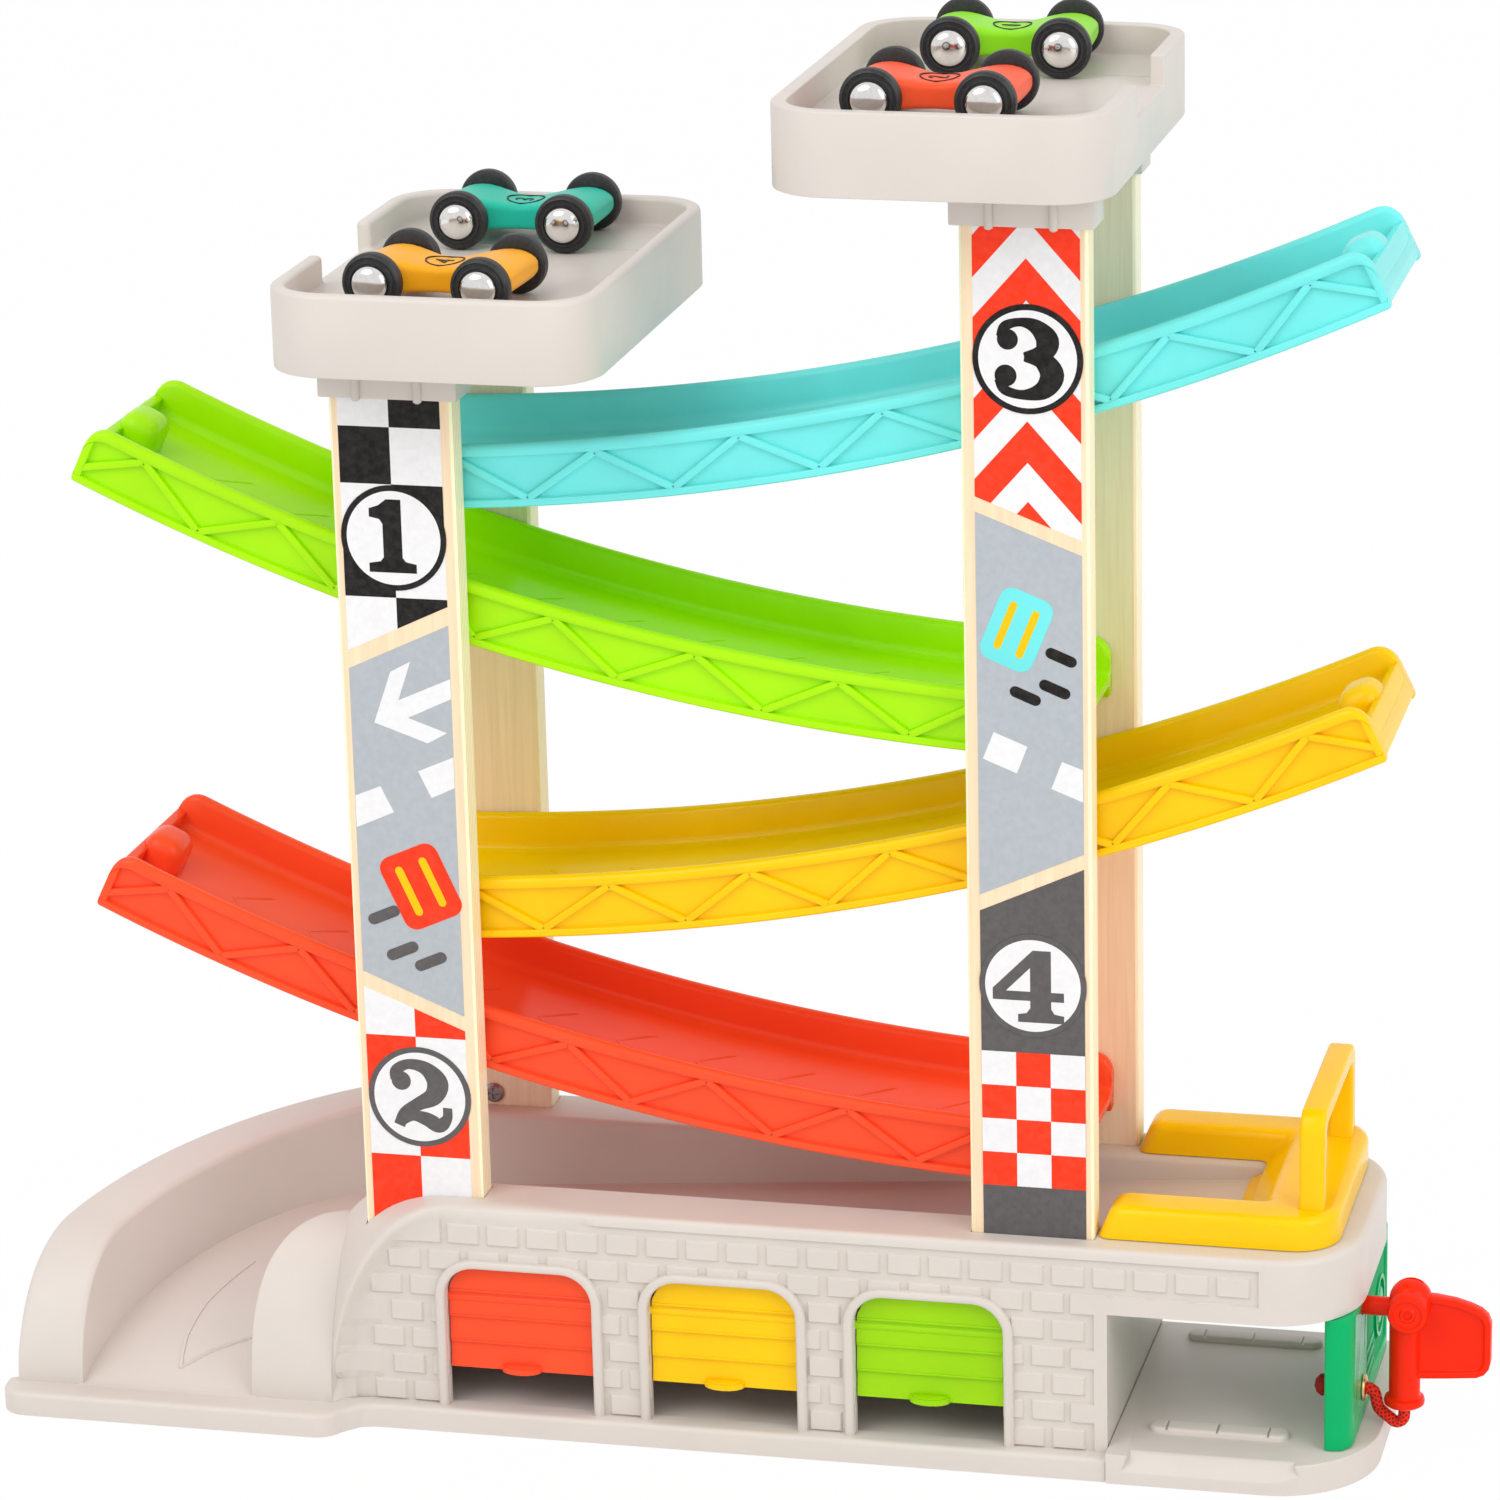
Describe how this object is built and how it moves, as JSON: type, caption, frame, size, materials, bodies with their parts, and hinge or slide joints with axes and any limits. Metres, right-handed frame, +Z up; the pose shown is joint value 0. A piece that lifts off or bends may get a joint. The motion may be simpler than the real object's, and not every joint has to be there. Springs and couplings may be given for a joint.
{
  "type": "toy garage and race tower",
  "caption": "Toy race tower with curved ramps between wooden posts, deck trays with cars, and a base with garage doors, a spiral exit and a filling station.",
  "frame": {"origin": "on the ground under the middle of the four posts, at the floor plate's underside", "axes": "+X along the base towards the filling station, -Y to the front with the garage doors, +Z up"},
  "size_m": [0.4724, 0.152, 0.4403],
  "materials": {
    "shell": "warm light grey moulded plastic, satin",
    "wood": "pale sealed wood",
    "teal": "turquoise moulded plastic",
    "green": "lime moulded plastic",
    "yellow": "yellow moulded plastic",
    "red": "coral red moulded plastic",
    "pump": "green moulded plastic",
    "nozzle": "red moulded plastic",
    "rope": "red braided cord",
    "brass": "dull brass",
    "screw": "mauve-grey coated steel",
    "tyre": "black, satin",
    "steel": "polished",
    "car_teal": "turquoise paint",
    "car_orange": "orange-yellow paint",
    "car_green": "lime paint",
    "car_red": "red-orange paint"
  },
  "bodies": {
    "garage": {"base_housing": "shell", "base_floor": "shell", "station_floor": "shell", "guard": "yellow", "fuel_pump": "pump", "rope_eyelet": "brass", "tether_rope": "rope", "rope_knot": "rope", "track_red": "red", "track_yellow": "yellow", "track_green": "green", "track_teal": "teal", "deck_left": "shell", "deck_right": "shell", "screw_left": "screw", "screw_right": "screw", "post_front_left": "wood", "post_front_right": "wood", "post_rear_left": "wood", "post_rear_right": "wood"},
    "nozzle": {"nozzle": "nozzle"},
    "door_red": {"door_red": "red"},
    "door_yellow": {"door_yellow": "yellow"},
    "door_green": {"door_green": "green"},
    "car_teal": {"car_teal_body": "car_teal"},
    "car_teal_front_wheels": {"car_teal_axle_front": "steel", "car_teal_wheel_front_near": "tyre", "car_teal_wheel_front_far": "tyre"},
    "car_teal_rear_wheels": {"car_teal_axle_rear": "steel", "car_teal_wheel_rear_near": "tyre", "car_teal_wheel_rear_far": "tyre"},
    "car_orange": {"car_orange_body": "car_orange"},
    "car_orange_front_wheels": {"car_orange_axle_front": "steel", "car_orange_wheel_front_near": "tyre", "car_orange_wheel_front_far": "tyre"},
    "car_orange_rear_wheels": {"car_orange_axle_rear": "steel", "car_orange_wheel_rear_near": "tyre", "car_orange_wheel_rear_far": "tyre"},
    "car_green": {"car_green_body": "car_green"},
    "car_green_front_wheels": {"car_green_axle_front": "steel", "car_green_wheel_front_near": "tyre", "car_green_wheel_front_far": "tyre"},
    "car_green_rear_wheels": {"car_green_axle_rear": "steel", "car_green_wheel_rear_near": "tyre", "car_green_wheel_rear_far": "tyre"},
    "car_red": {"car_red_body": "car_red"},
    "car_red_front_wheels": {"car_red_axle_front": "steel", "car_red_wheel_front_near": "tyre", "car_red_wheel_front_far": "tyre"},
    "car_red_rear_wheels": {"car_red_axle_rear": "steel", "car_red_wheel_rear_near": "tyre", "car_red_wheel_rear_far": "tyre"}
  },
  "joints": [
    {"name": "door_red_hinge", "type": "hinge", "parent": "garage", "child": "door_red", "pos_m": [-0.0658, -0.0489, 0.0435], "axis": [-1, 0, 0], "range_deg": [0, 80]},
    {"name": "door_yellow_hinge", "type": "hinge", "parent": "garage", "child": "door_yellow", "pos_m": [0, -0.0489, 0.0435], "axis": [-1, 0, 0], "range_deg": [0, 80]},
    {"name": "door_green_hinge", "type": "hinge", "parent": "garage", "child": "door_green", "pos_m": [0.0658, -0.0489, 0.0435], "axis": [-1, 0, 0], "range_deg": [0, 80]},
    {"name": "nozzle_pull", "type": "slide", "parent": "garage", "child": "nozzle", "axis": [1, 0, 0], "range_m": [0, 0.02]},
    {"name": "car_teal_roll", "type": "slide", "parent": "garage", "child": "car_teal", "axis": [1, 0, 0], "range_m": [-0.012, 0.016]},
    {"name": "car_teal_front_spin", "type": "hinge", "parent": "car_teal", "child": "car_teal_front_wheels", "pos_m": [-0.06265, 0.0475, 0.3718], "axis": [0, 1, 0], "range_deg": [-77, 102]},
    {"name": "car_teal_rear_spin", "type": "hinge", "parent": "car_teal", "child": "car_teal_rear_wheels", "pos_m": [-0.09665, 0.0475, 0.3718], "axis": [0, 1, 0], "range_deg": [-77, 102]},
    {"name": "car_orange_roll", "type": "slide", "parent": "garage", "child": "car_orange", "axis": [0.9986, -0.0523, 0], "range_m": [-0.016, 0.02]},
    {"name": "car_orange_front_spin", "type": "hinge", "parent": "car_orange", "child": "car_orange_front_wheels", "pos_m": [-0.06237, -0.04139, 0.3718], "axis": [0.0523, 0.9986, 0], "range_deg": [-102, 127]},
    {"name": "car_orange_rear_spin", "type": "hinge", "parent": "car_orange", "child": "car_orange_rear_wheels", "pos_m": [-0.09633, -0.03961, 0.3718], "axis": [0.0523, 0.9986, 0], "range_deg": [-102, 127]},
    {"name": "car_green_roll", "type": "slide", "parent": "garage", "child": "car_green", "axis": [0.9976, 0.0698, 0], "range_m": [-0.014, 0.014]},
    {"name": "car_green_front_spin", "type": "hinge", "parent": "car_green", "child": "car_green_front_wheels", "pos_m": [0.09371, 0.04769, 0.4312], "axis": [-0.0698, 0.9976, 0], "range_deg": [-90, 90]},
    {"name": "car_green_rear_spin", "type": "hinge", "parent": "car_green", "child": "car_green_rear_wheels", "pos_m": [0.05979, 0.04531, 0.4312], "axis": [-0.0698, 0.9976, 0], "range_deg": [-90, 90]},
    {"name": "car_red_roll", "type": "slide", "parent": "garage", "child": "car_red", "axis": [1, 0, 0], "range_m": [-0.013, 0.023]},
    {"name": "car_red_front_spin", "type": "hinge", "parent": "car_red", "child": "car_red_front_wheels", "pos_m": [0.08905, -0.0375, 0.4312], "axis": [0, 1, 0], "range_deg": [-83, 146]},
    {"name": "car_red_rear_spin", "type": "hinge", "parent": "car_red", "child": "car_red_rear_wheels", "pos_m": [0.05505, -0.0375, 0.4312], "axis": [0, 1, 0], "range_deg": [-83, 146]}
  ],
  "couplings": [
    {"joint": "car_teal_front_spin", "follows": "car_teal_roll", "rad_per_m": 108.7},
    {"joint": "car_teal_rear_spin", "follows": "car_teal_roll", "rad_per_m": 108.7},
    {"joint": "car_orange_front_spin", "follows": "car_orange_roll", "rad_per_m": 108.7},
    {"joint": "car_orange_rear_spin", "follows": "car_orange_roll", "rad_per_m": 108.7},
    {"joint": "car_green_front_spin", "follows": "car_green_roll", "rad_per_m": 108.7},
    {"joint": "car_green_rear_spin", "follows": "car_green_roll", "rad_per_m": 108.7},
    {"joint": "car_red_front_spin", "follows": "car_red_roll", "rad_per_m": 108.7},
    {"joint": "car_red_rear_spin", "follows": "car_red_roll", "rad_per_m": 108.7}
  ]
}
